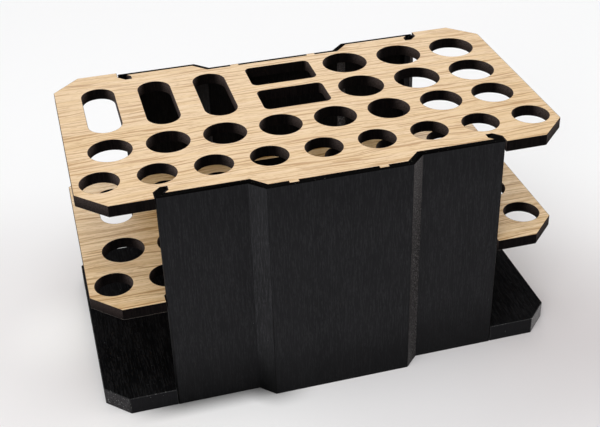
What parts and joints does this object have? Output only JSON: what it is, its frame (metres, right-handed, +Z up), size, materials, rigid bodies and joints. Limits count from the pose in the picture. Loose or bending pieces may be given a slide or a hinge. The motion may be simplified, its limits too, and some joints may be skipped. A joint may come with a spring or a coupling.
{
  "type": "hobby tool organizer",
  "caption": "Desktop rack with perforated wood-faced shelves over a base plate, held between folded black panels, that keeps hobby tools upright.",
  "frame": {"origin": "on the table, in the middle of the rack's footprint", "axes": "+Z up, +X along the rack to the right as seen from the front, -Y towards the front panel"},
  "size_m": [0.2144, 0.1252, 0.1104],
  "materials": {
    "shelf_board": "light open grain along the rack, satin, with the cut edges charred near black",
    "base_board": "black stained board, satin",
    "panel_sheet": "black, finely brushed upright"
  },
  "bodies": {
    "root": {"base_plate": "base_board", "middle_shelf": "shelf_board", "top_shelf": "shelf_board", "front_panel": "panel_sheet", "rear_panel": "panel_sheet"}
  },
  "joints": []
}
